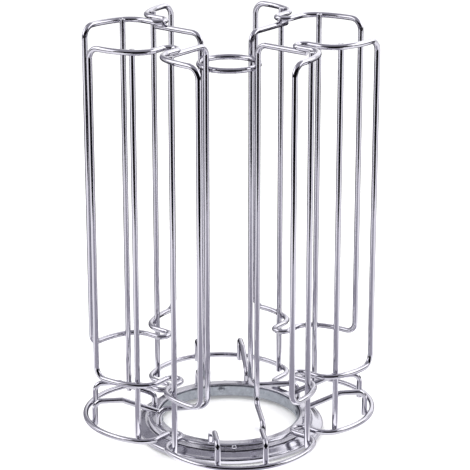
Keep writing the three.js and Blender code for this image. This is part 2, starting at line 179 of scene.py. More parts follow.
class TurntableSizes(PropertyGroup):
    """Driving sizes of the turntable"""

    sheet: length("Sheet", "Thickness of the pressed rings", 1.2)
    hairpin_seat: length("Hairpin seat", "How far a hairpin's tip lies inside the cap ring", 1.3)
    flange_width: length("Flange width", "From the cap ring's edge out to the base ring's lip", 7.7)
    lip_clearance: length("Lip clearance", "From the table up to the base ring's lip", 1.2)
    dish_height: length("Dish height", "From the lip's edge up to the shoulder", 5)
    shoulder_width: length("Shoulder width", "Flat part of the shoulder beside the cap ring", 1.6)
    lip_height: length("Lip height", "From the lip's edge up to where the flange starts", 2)
    lip_curl: length("Lip curl", "How far the flange's rounded edge reaches inwards", 2.4)
    race_depth: length("Race depth", "Of the race below the shoulder", 0.75)
    ball: length("Ball", "Diameter of the bearing balls", 3.4)
    ball_play: length("Ball play", "Clearance over and under a ball", 0.2)
    ball_count: IntProperty(name="Balls", description="Number of bearing balls", default=16, min=3)
    cage_sheet: length("Cage sheet", "Thickness of the cage that spaces the balls", 0.8)
    cage_width: length("Cage width", "Of the cage from edge to edge", 3)
    wall_clearance: length("Wall clearance", "From the race's middle to a channel wall", 2.1)
    collar_sheet: length("Collar sheet", "Thickness of the retaining ring", 1.1)
    retainer_grip: length("Retainer grip", "Overlap of the retaining ring under the base ring", 1.6)
    retainer_drop: length("Retainer drop", "Play of the base ring over the retaining ring", 0.8)
    rivet: length("Rivet", "Diameter of a rivet's shank", 2)
    rivet_head: length("Rivet head", "Diameter of a rivet's head", 4)
    rivet_dome: length("Rivet dome", "Height of a rivet's head", 1.1)
    rivet_tail: length("Rivet tail", "Thickness of a rivet's spread end", 0.4)
    tail_spread: length("Tail spread", "How far the spread end passes the shank", 0.4)
    dimple: length("Dimple", "Radius of the pressed dimples on the cap ring's wall", 1.7)
    dimple_rise: length("Dimple rise", "How far a dimple stands out", 0.9)
    dimple_turn: angle("Dimple turn", "From a column's line to a dimple", 3.5)
    foot: length("Foot", "Diameter of the rubber feet", 7)
    foot_inset: length("Foot inset", "From the base ring's edge to the middle of a foot", 5.2)
    press_rounding: length("Press rounding", "Outer rounding of the pressed rings", 0.8)
    cap_roll: length("Cap roll", "Rounding between the cap ring's top and its outer wall", 1.7)
    cap_draft: length("Cap draft", "How far the cap ring's outer wall leans in at its top", 0.9)
    edge_rounding: length("Edge rounding", "Rounding of a cut sheet edge", 0.2)
    foot_rounding: length("Foot rounding", "Rounding of a rubber foot's edges", 0.4)
    dimple_root: length("Dimple root", "How deep a dimple's body reaches into the wall", 0.3)
    lip_fall: length("Lip fall", "From the flange's start down to the lip's outer edge", 0.48)
    lip_rounding: length("Lip rounding", "Rounding of the lip's outer edge", 1.28)


class FinishSettings(PropertyGroup):
    """Colours, roughness and patterns of the finishes"""

    chrome: colour("Chrome", "Bright chrome plate on the wires", "C2C0C9")
    chrome_haze: colour("Chrome haze", "Where the plate is a little duller", "B4B2BC")
    chrome_gloss: roughness("Chrome roughness", "Of the plated wires", 0.042, 0.09)
    haze_spacing: length("Haze spacing", "Between the duller patches of a wire", 22)
    dent_spacing: length("Dent spacing", "Between the dents that the bending rollers leave", 5)
    dent_swing: length("Dent swing", "Height that the dents' pattern spans in full", 0.02)
    pressed: colour("Pressed chrome", "Chrome plate on the pressed rings", "BFBEC6")
    pressed_gloss: roughness("Pressed roughness", "Of the plated rings", 0.119, 0.272)
    stain_spacing: length("Stain spacing", "Between the duller patches of a pressed ring", 14)
    die_spacing: length("Die mark spacing", "Between the fine rings that the dies leave", 0.9)
    die_swing: length("Die mark swing", "Height that the die marks' pattern spans in full", 0.004)
    zinc: colour("Zinc", "Zinc plate on the retaining ring, rivets and cage", "A9ADB5")
    zinc_bloom: colour("Zinc bloom", "Darker spangle in the zinc plate", "8C9098")
    zinc_gloss: roughness("Zinc roughness", "Of the zinc plate", 0.28, 0.42)
    spangle_spacing: length("Spangle spacing", "Between the patches of the zinc plate", 1.5)
    ball_steel: colour("Ball steel", "Ground bearing steel", "B9B8B6")
    ball_gloss: roughness("Ball roughness", "Of the balls, clean and oily", 0.05, 0.16)
    oil_spacing: length("Oil spacing", "Between the traces of oil on a ball", 2)
    rubber: colour("Rubber", "Moulded rubber of the feet", "1C1C1E")
    rubber_bloom: colour("Rubber bloom", "Greyer bloom on the rubber", "2A2A2C")
    rubber_gloss: share("Rubber roughness", "Roughness of the feet", 0.8)
    bloom_spacing: length("Bloom spacing", "Between the greyer patches of the rubber", 3)
    pit_spacing: length("Pit spacing", "Between the pits of the rubber's skin", 0.35)
    pit_swing: length("Pit swing", "Height that the pits' pattern spans in full", 0.05)
    pit_strength: share("Pit strength", "How strongly the pits show", 0.5)


class StudioSettings(PropertyGroup):
    """Table, cards that paint light and shade into reflections, lamps and camera; a brightness of 1
    is white
    """

    table_colour: colour("Table", "Matt white table", "F2F2F3")
    table_lift: share("Table lift", "Added to the table where it is seen or reflected", 0.2)
    table_half: length("Table size", "From the middle of the table to its edge", 4000)
    # Glowing cards that only reflections see: painted shade of the unlit room, the shaded ceiling
    # and the shaded table in front
    dark_distance: length("Dark distance", "From the turning axis to the dark front card", 480)
    dark_left: length("Dark left", "How far the lower dark card reaches to the left", 500)
    dark_right: length("Dark right", "How far the lower dark card reaches to the right", 400)
    dark_step: length("Dark step", "Height at which the dark card grows wider", 120)
    dark_width: length("Dark width", "Half the width of the upper dark card", 850)
    dark_height: length("Dark height", "Height of the upper dark card", 700)
    dark_colour: colour("Dark card", "Unlit room in front of the table", "121216")
    hood_width: length("Hood width", "Half the width of the grey hood", 600)
    hood_depth: length("Hood depth", "From the dark card back to the hood's far edge", 1100)
    hood_height: length("Hood height", "Height of the hood's far edge", 1150)
    hood_colour: colour("Hood", "Shaded ceiling over the table's front", "B4B3BB")
    grey_start: length("Grey start", "From the axis to the near edge of the grey front card", 95)
    grey_width: length("Grey width", "Half the width of the grey front card", 210)
    # Painted highlight of the table right in front, glowing brighter than the lit table
    near_start: length("Near start", "From the axis to the near edge of the bright front card", 61)
    near_width: length("Near width", "Half the width of the bright front card", 75)
    near_level: share("Near level", "Brightness of the table right in front", 2.2)
    grey_colour: colour("Grey card", "Shaded table in front of the rack", "C6C4CE")
    # Painted shade of the table and wall behind the rack
    back_start: length("Back start", "From the axis to the near edge of the back card", 110)
    back_depth: length("Back depth", "From the axis to the far edge of the back card", 900)
    back_width: length("Back width", "Half the width of the back card", 900)
    back_height: length("Back height", "Height of the card at the back", 120)
    back_colour: colour("Back card", "Shaded table and wall behind the rack", "33323A")
    # Painted highlights of the table under the softboxes, with painted shade beyond them and beside
    # the rack
    side_start: length("Side start", "From the axis to the near edge of a bright side card", 260)
    side_width: length("Side width", "Of a bright side card, away from the axis", 900)
    side_front: length("Side front", "How far the side cards reach in front of the axis", 600)
    side_back: length("Side back", "How far the side cards reach behind the axis", 250)
    side_dark: length("Side dark", "Height of the dark cards under the softboxes", 400)
    side_near: length("Side near", "From the axis to the far side of the grey side cards", 145)
    side_grey: share("Side grey", "Brightness of the grey side cards", 1.1)
    side_level: share("Side level", "Brightness of the table under the softboxes", 1.7)
    # Painted highlight of a bright wall behind on the right
    rear_start: length("Rear start", "From the axis to the near side of the bright rear card", 150)
    rear_width: length("Rear width", "Of the bright rear card", 900)
    rear_height: length("Rear height", "Of the bright rear card", 1500)
    rear_level: share("Rear level", "Brightness of the wall behind on the right", 1.8)
    card_lift: length("Card lift", "Height of the flat cards above the table", 0.4)
    box_distance: length("Softbox distance", "From the axis to a side softbox", 800)
    box_size: length("Softbox size", "Side of a square softbox", 1100)
    box_height: length("Softbox height", "Height of the middle of a side softbox", 850)
    box_back: length("Softbox back", "How far the side softboxes stand behind the axis", 50)
    top_height: length("Top height", "Height of the top softbox", 1250)
    box_level: share("Softbox level", "Brightness of the side softboxes", 1.38)
    top_level: share("Top level", "Brightness of the top softbox, which isn't mirrored", 1.0)
    room_level: share("Room level", "Light that the white room sends to matt surfaces", 0.85)
    camera_place: FloatVectorProperty(
        name="Camera", description="Place of the camera", default=(-0.1385, -1.1741, 0.5255),
        unit="LENGTH",
    )
    camera_aim: FloatVectorProperty(
        name="Aim", description="Point in the middle of the picture", unit="LENGTH",
        default=(0.00358, -0.00042, 0.129),
    )
    camera_lens: FloatProperty(
        name="Lens", description="Focal length of the camera", default=153.93, unit="CAMERA"
    )


def corner_way(rack, offset, radius, end_angle):
    """A wire's way round a column to the corner: its arc, and the shoulder up to the hairpin's leg.

    The hairpin's leg starts at leg_start, which is measured along the corner's diagonal.
    """
    lean = math.cos(end_angle) - math.sin(end_angle)
    shoulder = (offset + radius * lean) * DIAGONAL_SHARE - rack.hairpin_radius
    shoulder /= 1 + lean * DIAGONAL_SHARE
    aside = (radius - shoulder) * (math.cos(end_angle) + math.sin(end_angle))
    return SimpleNamespace(
        radius=radius, end_angle=end_angle, shoulder=shoulder,
        leg_start=(offset + aside) * DIAGONAL_SHARE,
    )


def sizes_of(scene):
    """The driving sizes of the rack and the turntable, and the places that follow from them."""
    rack = scene.dispenser_rack
    table = scene.dispenser_turntable
    plan = SimpleNamespace()
    plan.wire_radius = rack.wire / 2
    plan.touch = rack.wire + rack.gap  # centre distance of two wires that touch

    plan.shoulder_top = table.lip_clearance + table.dish_height
    plan.race_top = plan.shoulder_top - table.race_depth
    plan.ball_height = plan.race_top + table.ball_play + table.ball / 2
    plan.cap_underside = plan.ball_height + table.ball / 2 + table.ball_play
    plan.cap_top = plan.cap_underside + table.sheet
    plan.weld_height = plan.cap_top + rack.gap
    plan.base_ring_height = plan.weld_height + plan.wire_radius
    plan.hoop_height = plan.base_ring_height + rack.column_height
    plan.mouth_top = plan.base_ring_height + rack.mouth_height
    plan.spoke_height = plan.hoop_height - plan.touch
    plan.foot_wire_height = plan.base_ring_height + rack.inner_foot

    # The base ring's lobes are flatter arcs than the hoops, which they meet beside the rods
    lobe_reach = rack.column_offset + rack.hoop_radius - rack.lobe_setback
    end_x = rack.column_offset + rack.hoop_radius * math.cos(rack.rod_angle)
    end_y = rack.hoop_radius * math.sin(rack.rod_angle)
    plan.lobe_offset = (lobe_reach ** 2 - end_x ** 2 - end_y ** 2) / (2 * (lobe_reach - end_x))
    plan.lobe_radius = lobe_reach - plan.lobe_offset
    lobe_angle = math.atan2(end_y, end_x - plan.lobe_offset)
    plan.hoop_way = corner_way(rack, rack.column_offset, rack.hoop_radius, rack.rod_angle)
    plan.lobe_way = corner_way(rack, plan.lobe_offset, plan.lobe_radius, lobe_angle)
    tip_centre = plan.hoop_way.leg_start - rack.hairpin_leg
    for way in (plan.hoop_way, plan.lobe_way):
        way.leg = way.leg_start - tip_centre
    plan.cusp_reach = tip_centre - rack.hairpin_radius

    plan.cap_outer = plan.cusp_reach + table.hairpin_seat
    plan.cap_outer_face = plan.cap_outer - table.sheet
    plan.race_radius = plan.cap_outer_face - table.wall_clearance
    plan.table_radius = plan.cap_outer + table.flange_width
    plan.cap_inner_face = plan.race_radius - table.wall_clearance - rack.gap - table.rivet_tail
    plan.cap_inner = plan.cap_inner_face - table.sheet
    plan.race_inner = plan.race_radius - table.cage_width / 2 - rack.gap
    plan.collar_outer = plan.cap_inner - rack.gap
    plan.collar_inner = plan.collar_outer - table.collar_sheet
    plan.rivet_height = plan.race_top + table.rivet / 2 + table.tail_spread + rack.gap

    plan.inner_side = rack.inner_radius * DIAGONAL_SHARE
    plan.leg_reach = math.sqrt(plan.race_radius ** 2 - plan.inner_side ** 2)
    return rack, table, plan


def stood_at(place, facing):
    """Carries a shape from the middle of the scene to a place, where +Z comes to face this way."""
    turned = Vector(facing).to_track_quat("Z", "Y").to_matrix().to_4x4()
    return Matrix.Translation(place) @ turned


class Wire:
    """A wire that is bent as a bending machine does it: its open end is pushed on or turned."""

    def __init__(self, start, heading, radius):
        self.place = Vector(start)
        self.heading = Vector(heading).normalized()
        self.bm = bmesh.new()
        bmesh.ops.create_circle(
            self.bm, segments=WIRE_SIDES, radius=radius, matrix=stood_at(self.place, self.heading)
        )
        self.tip = list(self.bm.edges)

    def straight(self, distance):
        pushed = bmesh.ops.extrude_edge_only(self.bm, edges=self.tip)["geom"]
        bmesh.ops.translate(self.bm, vec=self.heading * distance, verts=self.end_on(pushed))
        self.place += self.heading * distance

    def bend(self, radius, turn, axis):
        centre = self.place + axis.cross(self.heading) * radius
        steps = math.ceil(max(turn / BEND_STEP, turn * radius / FACET_LENGTH))
        swept = bmesh.ops.spin(
            self.bm, geom=self.tip, cent=centre, axis=axis, angle=turn, steps=steps, use_merge=False
        )["geom_last"]
        self.end_on(swept)
        turned = Matrix.Rotation(turn, 3, axis)
        self.place = centre + turned @ (self.place - centre)
        self.heading = turned @ self.heading

    def end_on(self, parts):
        """The rim among the parts that were added last is the wire's open end. Gives its points."""
        points = [part for part in parts if isinstance(part, bmesh.types.BMVert)]
        edges = [part for part in parts if isinstance(part, bmesh.types.BMEdge)]
        self.tip = [edge for edge in edges if all(end in points for end in edge.verts)]
        return points

    def joined(self):
        """The two ends meet and are welded, so the wire has no ends."""
        bmesh.ops.remove_doubles(self.bm, verts=self.bm.verts, dist=SAME_PLACE)
        return self.bm

    def cut(self, rounding):
        """Both ends are cut square and their rims rounded."""
        for rim in rims_of(self.bm):
            bmesh.ops.edgeloop_fill(self.bm, edges=rim)
            round_edges(self.bm, rim, rounding)
        return self.bm


def round_edges(bm, edges, rounding):
    """Rounds edges with a bevel, or leaves them sharp where the rounding is nothing."""
    if rounding > 0.0:
        bmesh.ops.bevel(
            bm, geom=edges, offset=rounding, segments=ROUNDING_SEGMENTS, profile=0.5,
            affect="EDGES", material=-1,
        )


def rims_of(bm):
    """The open rims of a tube, one list of edges for each end."""
    loose = [edge for edge in bm.edges if edge.is_boundary]
    rims = []
    while loose:
        rim = [loose[0]]
        for edge in rim:
            for end in edge.verts:
                rim += [near for near in end.link_edges if near in loose and near not in rim]
        loose = [edge for edge in loose if edge not in rim]
        rims.append(rim)
    return rims


def bent_through(corners, bend_radius, rack):
    """A wire that runs straight from corner to corner, with a round bend at each."""
    runs = [after - before for before, after in zip(corners, corners[1:])]
    wire = Wire(corners[0], runs[0], rack.wire / 2)
    used = 0.0
    for run, following in zip(runs, runs[1:]):
        turn = run.angle(following)
        reach = bend_radius * math.tan(turn / 2)
        wire.straight(run.length - used - reach)
        wire.bend(bend_radius, turn, run.cross(following).normalized())
        used = reach
    wire.straight(runs[-1].length - used)
    return wire.cut(rack.end_rounding)


def bend_round_corner(wire, rack, way, start_angle, side):
    """The wire's way from one column over the hairpin to the next column."""
    axis = UP * side
    column_turn = way.end_angle - start_angle
    shoulder_turn = QUARTER + HALFWAY - way.end_angle
    wire.bend(way.radius, column_turn, axis)
    wire.bend(way.shoulder, shoulder_turn, axis)
    wire.straight(way.leg)
    wire.bend(rack.hairpin_radius, math.pi, -axis)
    wire.straight(way.leg)
    wire.bend(way.shoulder, shoulder_turn, axis)
    wire.bend(way.radius, column_turn, axis)


def spun(outline, steps, closed):
    """An outline of radius and height pairs, spun a full turn round the vertical axis."""
    bm = bmesh.new()
    corners = [bm.verts.new((radius, 0.0, height)) for radius, height in outline]
    following = corners[1:] + corners[:1] if closed else corners[1:]
    sides = [bm.edges.new(pair) for pair in zip(corners, following)]
    bmesh.ops.spin(
        bm, geom=corners + sides, cent=(0.0, 0.0, 0.0), axis=UP, angle=2 * math.pi,
        steps=steps, use_merge=True,
    )
    return bm


def turned_ring(outline):
    """A ring spun from a closed outline: each corner is a radius, a height and its rounding."""
    bm = spun([corner[:2] for corner in outline], RING_SIDES, closed=True)
    for radius, height, rounding in outline:
        rim = [edge for edge in bm.edges if all(at(end, radius, height) for end in edge.verts)]
        round_edges(bm, rim, rounding)
    return bm


def at(vertex, radius, height):
    """Whether a corner of a spun shape lies at this radius and height."""
    across = math.hypot(vertex.co.x, vertex.co.y)
    return abs(across - radius) < SAME_PLACE and abs(vertex.co.z - height) < SAME_PLACE


def add_dome(bm, outline, place, facing):
    """A round shape spun from an outline of radius and height pairs that starts on its axis."""
    made = spun(outline, BALL_SIDES, closed=False)
    bmesh.ops.remove_doubles(made, verts=made.verts, dist=SAME_PLACE)
    bmesh.ops.recalc_face_normals(made, faces=made.faces)
    made.transform(stood_at(place, facing))
    add_mesh(bm, made)


def add_mesh(bm, made):
    """Puts one bmesh into another and frees it."""
    mesh = bpy.data.meshes.new("part")
    made.to_mesh(mesh)
    made.free()
    bm.from_mesh(mesh)
    bpy.data.meshes.remove(mesh)


def add_weld(bm, rack, place, normal, reach=None, along=None):
    """A bead of fused metal, flat across the contact's normal. It can be drawn out along a wire."""
    normal = Vector(normal).normalized()
    first = Vector(along).normalized() if along is not None else normal.orthogonal().normalized()
    facing = Matrix([first, normal.cross(first), normal]).transposed().to_4x4()
    length_of_bead, width_of_bead = reach or (rack.weld_reach, rack.weld_reach)
    stretch = Matrix.Diagonal((length_of_bead, width_of_bead, rack.weld_depth, 1.0))
    bmesh.ops.create_icosphere(
        bm, subdivisions=BEAD_SUBDIVISIONS, radius=1.0,
        matrix=Matrix.Translation(place) @ facing @ stretch,
    )


def turn_about_axis(bm, turn):
    """Turns a whole bmesh round the turning axis."""
    bmesh.ops.rotate(
        bm, cent=(0.0, 0.0, 0.0), matrix=Matrix.Rotation(turn, 3, "Z"), verts=bm.verts
    )


def link_object(name, bm):
    """Makes an object of a bmesh, frees the bmesh and puts the object in the scene."""
    mesh = bpy.data.meshes.new(name)
    bm.to_mesh(mesh)
    bm.free()
    made = bpy.data.objects.new(name, mesh)
    bpy.context.scene.collection.objects.link(made)
    return made


def finish_piece(bm, name, body, slot, nodes=(), quarter=0, other_finishes=()):
    """Turns a bmesh to its quarter and makes it a smooth piece that stands for its nodes."""
    turn_about_axis(bm, quarter * QUARTER)
    bmesh.ops.recalc_face_normals(bm, faces=bm.faces)
    for face in bm.faces:
        face.smooth = True
    piece = link_object(name, bm)
    for finish in (slot, *other_finishes):
        piece.data.materials.append(finish_named(finish))
    # Flat faces keep their own direction, so a reflection bends only at the roundings
    piece.modifiers.new("Flat faces", "WEIGHTED_NORMAL")
    if nodes:
        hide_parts(*nodes)
    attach(piece, body)


def polar(radius, turn, height):
    """The place at this radius, this far round from +X and this high."""
    return Vector((radius * math.cos(turn), radius * math.sin(turn), height))


def side_names(quarter):
    """The two sides of a column are named for the columns that they face."""
    following = COLUMNS[(quarter + 1) % len(COLUMNS)]
    previous = COLUMNS[(quarter - 1) % len(COLUMNS)]
    return f"{following}_side", f"{previous}_side"


def add_node(tree, kind, properties=None, values=None, links=None):
    """Adds a node with its settings, its socket values and the outputs that feed it."""
    node = tree.nodes.new(kind)
    for name, value in (properties or {}).items():
        setattr(node, name, value)
    for socket, value in (values or {}).items():
        node.inputs[socket].default_value = value
    for socket, (source, output) in (links or {}).items():
        tree.links.new(source.outputs[output], node.inputs[socket])
    return node


def new_material(name):
    """A material and its empty node tree."""
    material = bpy.data.materials.new(name)
    material.use_nodes = True
    tree = material.node_tree
    tree.nodes.clear()
    return material, tree


def mottled(tree, pattern, colours, gloss, spread, outputs=("Fac", "Fac")):
    """Links for a colour and a roughness that go from clear to dull with one pattern."""
    tone = add_node(
        tree, "ShaderNodeMix", {"data_type": "RGBA"},
        values={"A": (*colours[0], 1.0), "B": (*colours[1], 1.0)},
        links={"Factor": (pattern, outputs[0])},
    )
    dulling = add_node(
        tree, "ShaderNodeMapRange",
        values={
            "From Min": spread[0], "From Max": spread[1], "To Min": gloss[0], "To Max": gloss[1],
        },
        links={"Value": (pattern, outputs[1])},
    )
    return {"Base Color": (tone, "Result"), "Roughness": (dulling, "Result")}


def shaded(material, tree, values, links):
    """Gives a material its shader and its output."""
    shader = add_node(tree, "ShaderNodeBsdfPrincipled", values=values, links=links)
    add_node(tree, "ShaderNodeOutputMaterial", links={"Surface": (shader, "BSDF")})
    return material


def chromed_drawn_wire(finish):
    # Decorative chrome over nickel on drawn steel wire: a hard mirror with a cool cast. The plate
    # follows the wire's faint unevenness, so reflections run along a wire as lines that waver a
    # little, and it is slightly hazier in patches.
    material, tree = new_material("chromed drawn steel wire")
    place = add_node(tree, "ShaderNodeTexCoord")
    haze = add_node(
        tree, "ShaderNodeTexNoise",
        values={
            "Scale": 1 / finish.haze_spacing, "Detail": FINER_OCTAVES, "Roughness": OCTAVE_SHARE,
        },
        links={"Vector": (place, "Object")},
    )
    # The bending rollers leave dents, which are about a third as high as the pattern's full swing
    dents = add_node(
        tree, "ShaderNodeTexNoise",
        values={"Scale": 1 / finish.dent_spacing, "Detail": PLAIN_OCTAVES},
        links={"Vector": (place, "Object")},
    )
    relief = add_node(
        tree, "ShaderNodeBump",
        values={"Strength": 1.0, "Distance": finish.dent_swing}, links={"Height": (dents, "Fac")},
    )
    colours = (finish.chrome, finish.chrome_haze)
    links = mottled(tree, haze, colours, finish.chrome_gloss, NOISE_RANGE)
    return shaded(material, tree, {"Metallic": 1.0}, {**links, "Normal": (relief, "Normal")})


def chromed_pressed_sheet(finish):
    # Chrome plate on deep-drawn sheet: a softer mirror than the wire. The dies leave fine rings
    # round the turning axis, drawn about 1 mm apart, which is as fine as the picture can show.
    material, tree = new_material("chromed pressed sheet steel")
    place = add_node(tree, "ShaderNodeTexCoord")
    flat = add_node(
        tree, "ShaderNodeVectorMath", {"operation": "MULTIPLY"},
        values={1: (1.0, 1.0, 0.0)}, links={0: (place, "Object")},
    )
    across = add_node(
        tree, "ShaderNodeVectorMath", {"operation": "LENGTH"}, links={0: (flat, "Vector")}
    )
    die_marks = add_node(
        tree, "ShaderNodeTexNoise", {"noise_dimensions": "1D"},
        values={"Scale": 1 / finish.die_spacing, "Detail": PLAIN_OCTAVES},
        links={"W": (across, "Value")},
    )
    relief = add_node(
        tree, "ShaderNodeBump",
        values={"Strength": 1.0, "Distance": finish.die_swing},
        links={"Height": (die_marks, "Fac")},
    )
    stains = add_node(
        tree, "ShaderNodeTexNoise",
        values={
            "Scale": 1 / finish.stain_spacing, "Detail": FINEST_OCTAVES, "Roughness": OCTAVE_SHARE,
        },
        links={"Vector": (place, "Object")},
    )
    colours = (finish.pressed, finish.chrome_haze)
    links = mottled(tree, stains, colours, finish.pressed_gloss, NOISE_RANGE)
    return shaded(material, tree, {"Metallic": 1.0}, {**links, "Normal": (relief, "Normal")})


def zinc_plated_steel(finish):
    # Bright zinc with a clear passivate on plain steel: a satin grey with small crystal-like
    # patches that differ a little in tone and gloss.
    material, tree = new_material("zinc-plated steel")
    place = add_node(tree, "ShaderNodeTexCoord")
    spangle = add_node(
        tree, "ShaderNodeTexVoronoi",
        values={"Scale": 1 / finish.spangle_spacing}, links={"Vector": (place, "Object")},
    )
    colours = (finish.zinc, finish.zinc_bloom)
    links = mottled(
        tree, spangle, colours, finish.zinc_gloss, FULL_RANGE, outputs=("Color", "Distance")
    )
    return shaded(material, tree, {"Metallic": 1.0}, links)


def ground_bearing_steel(finish):
    # Hardened and ground steel balls: an even, clean mirror with a trace of oil haze.
    material, tree = new_material("ground bearing steel")
    place = add_node(tree, "ShaderNodeTexCoord")
    oil = add_node(
        tree, "ShaderNodeTexNoise",
        values={"Scale": 1 / finish.oil_spacing, "Detail": PLAIN_OCTAVES},
        links={"Vector": (place, "Object")},
    )
    clean, oily = finish.ball_gloss
    haze = add_node(
        tree, "ShaderNodeMapRange",
        values={"To Min": clean, "To Max": oily}, links={"Value": (oil, "Fac")},
    )
    values = {"Base Color": (*finish.ball_steel, 1.0), "Metallic": 1.0}
    return shaded(material, tree, values, {"Roughness": (haze, "Result")})


def moulded_rubber(finish):
    # Moulded nitrile rubber: matt black with a greyish bloom and a fine pitted skin, whose pits are
    # drawn coarser than they are so that a close view shows them.
    material, tree = new_material("moulded black rubber")
    place = add_node(tree, "ShaderNodeTexCoord")
    bloom = add_node(
        tree, "ShaderNodeTexNoise",
        values={"Scale": 1 / finish.bloom_spacing, "Detail": FINEST_OCTAVES},
        links={"Vector": (place, "Object")},
    )
    tone = add_node(
        tree, "ShaderNodeMix", {"data_type": "RGBA"},
        values={"A": (*finish.rubber, 1.0), "B": (*finish.rubber_bloom, 1.0)},
        links={"Factor": (bloom, "Fac")},
    )
    pits = add_node(
        tree, "ShaderNodeTexNoise",
        values={"Scale": 1 / finish.pit_spacing, "Detail": PLAIN_OCTAVES},
        links={"Vector": (place, "Object")},
    )
    relief = add_node(
        tree, "ShaderNodeBump",
        values={"Strength": finish.pit_strength, "Distance": finish.pit_swing},
        links={"Height": (pits, "Fac")},
    )
    links = {"Base Color": (tone, "Result"), "Normal": (relief, "Normal")}
    return shaded(material, tree, {"Roughness": finish.rubber_gloss}, links)


FINISHES = {
    "chromed_wire": chromed_drawn_wire,
    "chromed_sheet": chromed_pressed_sheet,
    "zinc_plated_steel": zinc_plated_steel,
    "bearing_steel": ground_bearing_steel,
    "black_rubber": moulded_rubber,
}
made_finishes = {}


def finish_named(name):
    """The material of a finish, made the first time that a piece asks for it."""
    if name not in made_finishes:
        made_finishes[name] = FINISHES[name](bpy.context.scene.dispenser_finish)
    return made_finishes[name]


def finish_wire(bm, node, prefix, quarter=0):
    """Finishes a wire of the rack, which stands for the node that it is named after."""
    finish_piece(bm, f"{prefix}_{node}", "rack", "chromed_wire", [node], quarter)


class BaseRingOperator(Operator):
    """Bends the base ring, one closed wire round all four columns"""

    bl_idname = "dispenser.base_ring"
    bl_label = "Base ring"

    def execute(self, context):
        rack, _, plan = sizes_of(context.scene)
        start = (plan.lobe_offset + plan.lobe_radius, 0.0, plan.base_ring_height)
        wire = Wire(start, (0.0, 1.0, 0.0), plan.wire_radius)
        for _ in COLUMNS:
            bend_round_corner(wire, rack, plan.lobe_way, 0.0, 1)
        finish_wire(wire.joined(), "base_ring", "bent")
        return {"FINISHED"}


class CornerFramesOperator(Operator):
    """Bends the corner frames: a top hoop, an upright, a lower hoop and an upright in one wire"""

    bl_idname = "dispenser.corner_frames"
    bl_label = "Corner frames"

    def execute(self, context):
        rack, _, plan = sizes_of(context.scene)
        upright = plan.hoop_height - plan.mouth_top - 2 * rack.upright_bend
        middle = Vector((rack.column_offset, 0.0, plan.hoop_height))
        start = middle + polar(rack.hoop_radius, rack.upright_angle, 0.0)
        heading = polar(1.0, rack.upright_angle + QUARTER, 0.0)
        for quarter, corner in enumerate(CORNERS):
            wire = Wire(start, heading, plan.wire_radius)
            for side, down in ((1, -UP), (-1, UP)):
                bend_round_corner(wire, rack, plan.hoop_way, rack.upright_angle, side)
                axis = wire.heading.cross(down).normalized()
                wire.bend(rack.upright_bend, QUARTER, axis)
                wire.straight(upright)
                wire.bend(rack.upright_bend, QUARTER, axis)
            finish_wire(wire.joined(), f"corner_frame_{corner}", "bent", quarter)
        return {"FINISHED"}


class RodsOperator(Operator):
    """Cuts the straight rods that stand inside the rings of each column"""

    bl_idname = "dispenser.rods"
    bl_label = "Rods"

    def execute(self, context):
        rack, _, plan = sizes_of(context.scene)
        reach = rack.hoop_radius - plan.touch
        bottom = plan.base_ring_height - plan.wire_radius
        top = plan.hoop_height + plan.wire_radius - rack.rod_setback
        for quarter, column in enumerate(COLUMNS):
            for side, direction in zip(side_names(quarter), (1, -1)):
                foot = polar(reach, direction * rack.rod_angle, bottom)
                wire = Wire(foot + Vector((rack.column_offset, 0.0, 0.0)), UP, plan.wire_radius)
                wire.straight(top - bottom)
                bm = wire.cut(rack.end_rounding)
                finish_wire(bm, f"rod_{column}_{side}", "cut", quarter)
        return {"FINISHED"}


class InnerUprightsOperator(Operator):
    """Bends the inner uprights, each with its spoke, its foot and its leg on the turntable"""

    bl_idname = "dispenser.inner_uprights"
    bl_label = "Inner uprights"

    def execute(self, context):
        rack, _, plan = sizes_of(context.scene)
        spoke_side = (plan.cusp_reach + rack.spoke_overlap) * DIAGONAL_SHARE
        inner = plan.inner_side
        corners = [
            Vector((spoke_side, spoke_side, plan.spoke_height)),
            Vector((inner, inner, plan.spoke_height)),
            Vector((inner, inner, plan.foot_wire_height)),
            Vector((plan.leg_reach, inner, plan.foot_wire_height)),
            Vector((plan.leg_reach, inner, plan.weld_height)),
        ]
        for quarter, corner in enumerate(CORNERS):
            bm = bent_through(corners, rack.inner_bend, rack)
            finish_wire(bm, f"inner_upright_{corner}", "bent", quarter)
        return {"FINISHED"}


class CentreRingOperator(Operator):
    """Rolls the ring that ties the inner uprights together"""

    bl_idname = "dispenser.centre_ring"
    bl_label = "Centre ring"

    def execute(self, context):
        rack, _, plan = sizes_of(context.scene)
        radius = rack.inner_radius - plan.touch
        start = (radius, 0.0, plan.spoke_height - rack.centre_ring_drop)
        wire = Wire(start, (0.0, 1.0, 0.0), plan.wire_radius)
        wire.bend(radius, 2 * math.pi, UP)
        finish_wire(wire.joined(), "centre_ring", "rolled")
        return {"FINISHED"}


def shelf_line(rack, plan):
    """Where a shelf wire starts to fall, the middle of the bend that it passes, and its slope."""
    top = plan.base_ring_height + rack.shelf_height
    bend_centre = Vector((plan.leg_reach, 0.0, plan.foot_wire_height))
    bend_centre -= Vector((rack.inner_bend, 0.0, rack.inner_bend))
    slope_start = bend_centre.x + (top - bend_centre.z) / math.tan(rack.shelf_slope)
    return slope_start, bend_centre, polar(1.0, rack.shelf_slope, 0.0).xzy


def shelf_foot(plan, offset):
    """How far out a shelf wire's foot stands inside the base ring."""
    return plan.lobe_offset + math.sqrt((plan.lobe_radius - plan.touch) ** 2 - offset ** 2)


